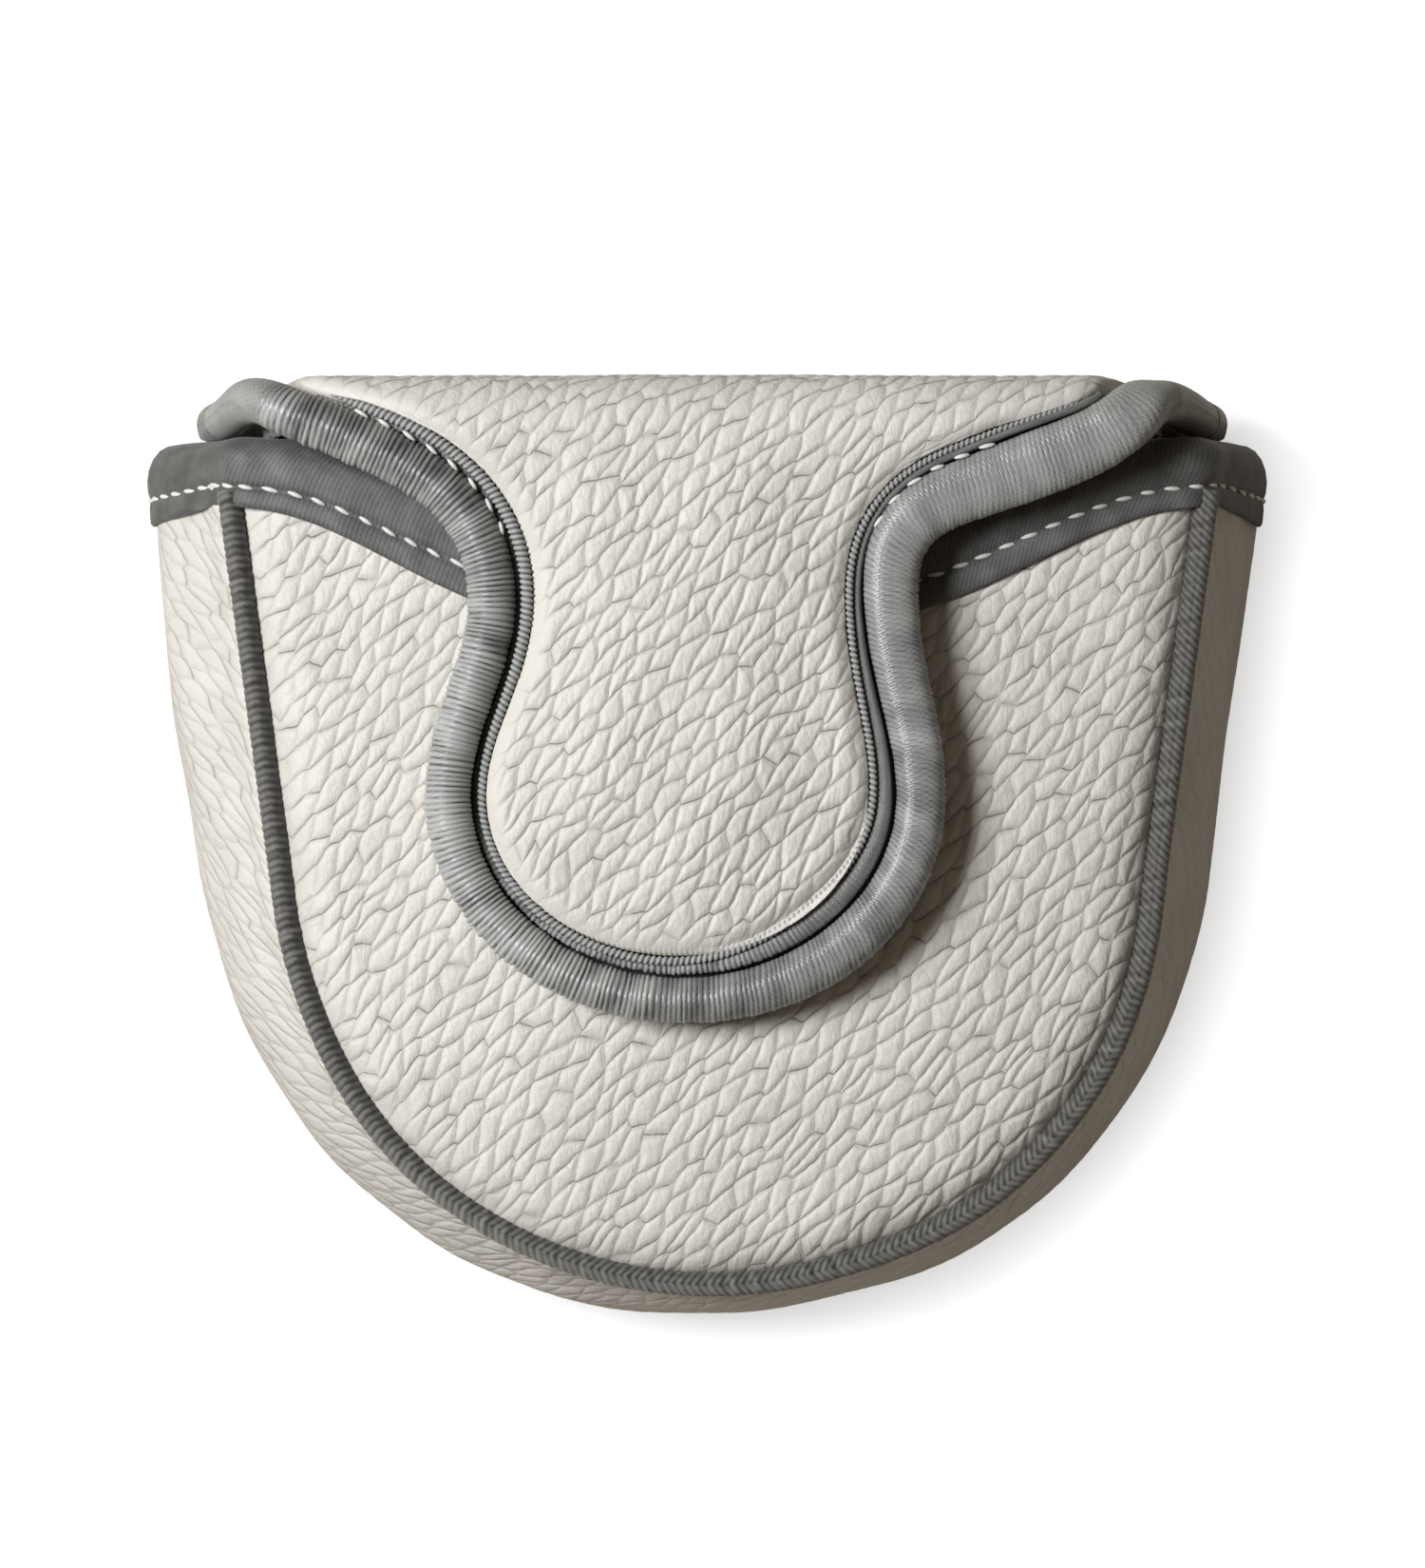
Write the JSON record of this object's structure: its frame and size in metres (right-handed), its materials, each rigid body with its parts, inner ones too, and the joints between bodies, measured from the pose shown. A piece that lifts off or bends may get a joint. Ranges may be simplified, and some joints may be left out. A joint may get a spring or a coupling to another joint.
{
  "type": "putter head cover",
  "caption": "Padded D-shaped leather pouch with corded seams, a bound scooped mouth and a tongue flap that folds over the mouth and closes by hidden magnets.",
  "frame": {"origin": "middle of the footprint on the plane that the back panel rests on", "axes": "+X across the cover, to the right seen from the front; +Y towards the fold edge above the mouth; +Z out of the front panel"},
  "size_m": [0.1412, 0.1162, 0.0474],
  "materials": {
    "ivory_leather": "pebbled, satin",
    "grey_grosgrain": "ribbed satin tape",
    "grey_corded_piping": "corded weave",
    "plush_lining": "short-pile plush",
    "padding_foam": "soft open foam",
    "nickel_magnet": "nickel plated"
  },
  "bodies": {
    "pouch": {"front_panel_leather": "ivory_leather", "front_panel_foam": "padding_foam", "front_panel_lining": "plush_lining", "back_panel_leather": "ivory_leather", "back_panel_foam": "padding_foam", "back_panel_lining": "plush_lining", "gusset_leather": "ivory_leather", "gusset_foam": "padding_foam", "gusset_lining": "plush_lining", "front_piping": "grey_corded_piping", "front_piping_core": "padding_foam", "back_piping": "grey_corded_piping", "back_piping_core": "padding_foam", "mouth_binding": "grey_grosgrain", "pouch_magnet_left": "nickel_magnet", "pouch_magnet_right": "nickel_magnet"},
    "bridge": {"bridge_leather": "ivory_leather", "bridge_foam": "padding_foam", "bridge_lining": "plush_lining", "bridge_binding_left": "grey_grosgrain", "bridge_binding_right": "grey_grosgrain", "bridge_binding_core_left": "padding_foam", "bridge_binding_core_right": "padding_foam"},
    "flap": {"flap_leather": "ivory_leather", "flap_foam": "padding_foam", "flap_lining": "plush_lining", "flap_binding": "grey_grosgrain", "flap_binding_core": "padding_foam", "flap_edge_cord": "grey_corded_piping", "flap_magnet_left": "nickel_magnet", "flap_magnet_right": "nickel_magnet"}
  },
  "joints": [
    {"name": "spine_fold", "type": "hinge", "parent": "pouch", "child": "bridge", "pos_m": [0, 0.05605, 0.00205], "axis": [-1, 0, 0], "range_deg": [0, 90]},
    {"name": "flap_fold", "type": "hinge", "parent": "bridge", "child": "flap", "pos_m": [0, 0.05605, 0.04355], "axis": [-1, 0, 0], "range_deg": [0, 90]}
  ]
}
